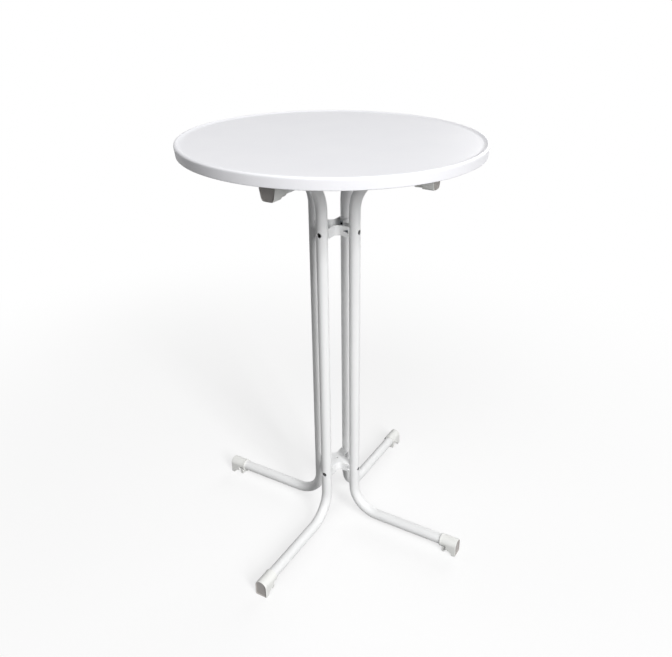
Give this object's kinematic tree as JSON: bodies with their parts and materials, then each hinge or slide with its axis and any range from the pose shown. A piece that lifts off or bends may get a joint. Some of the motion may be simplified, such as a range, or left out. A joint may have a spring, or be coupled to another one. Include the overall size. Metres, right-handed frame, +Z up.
{
  "type": "outdoor bar table",
  "caption": "Tall round outdoor bar table: moulded top with a raised rim on a splayed base of bent round tubes tied by cross hubs, with moulded end caps as feet.",
  "frame": {"origin": "on the floor, under the middle of the round top", "axes": "+Z up; each leg points along a diagonal between X and Y; the front is -Y"},
  "size_m": [0.7, 0.7, 1.07],
  "materials": {
    "moulded_top": "fine satin grain",
    "powder_coated_steel": "white powder coat, satin",
    "moulded_cap": "moulded satin",
    "black_bolt": "black oxide",
    "zinc_nut": "zinc plated"
  },
  "bodies": {
    "root": {"top_panel": "moulded_top", "saddle_block_front_left": "moulded_cap", "saddle_block_back_left": "moulded_cap", "saddle_block_back_right": "moulded_cap", "saddle_block_front_right": "moulded_cap", "hub_upper": "powder_coated_steel", "hub_lower": "powder_coated_steel", "leg_tube_front_left": "powder_coated_steel", "leg_tube_back_left": "powder_coated_steel", "leg_tube_back_right": "powder_coated_steel", "leg_tube_front_right": "powder_coated_steel", "foot_cap_front_left": "moulded_cap", "foot_cap_back_left": "moulded_cap", "foot_cap_back_right": "moulded_cap", "foot_cap_front_right": "moulded_cap", "arm_cap_front_left": "moulded_cap", "arm_cap_back_left": "moulded_cap", "arm_cap_back_right": "moulded_cap", "arm_cap_front_right": "moulded_cap", "hub_bolt_upper_front_left": "black_bolt", "hub_bolt_upper_back_left": "black_bolt", "hub_bolt_upper_back_right": "black_bolt", "hub_bolt_upper_front_right": "black_bolt", "hub_bolt_lower_front_left": "black_bolt", "hub_bolt_lower_back_left": "black_bolt", "hub_bolt_lower_back_right": "black_bolt", "hub_bolt_lower_front_right": "black_bolt", "hub_nut_upper_front_left": "zinc_nut", "hub_nut_upper_back_left": "zinc_nut", "hub_nut_upper_back_right": "zinc_nut", "hub_nut_upper_front_right": "zinc_nut", "hub_nut_lower_front_left": "zinc_nut", "hub_nut_lower_back_left": "zinc_nut", "hub_nut_lower_back_right": "zinc_nut", "hub_nut_lower_front_right": "zinc_nut", "top_bolt_front_left": "black_bolt", "top_bolt_back_left": "black_bolt", "top_bolt_back_right": "black_bolt", "top_bolt_front_right": "black_bolt"}
  },
  "joints": []
}
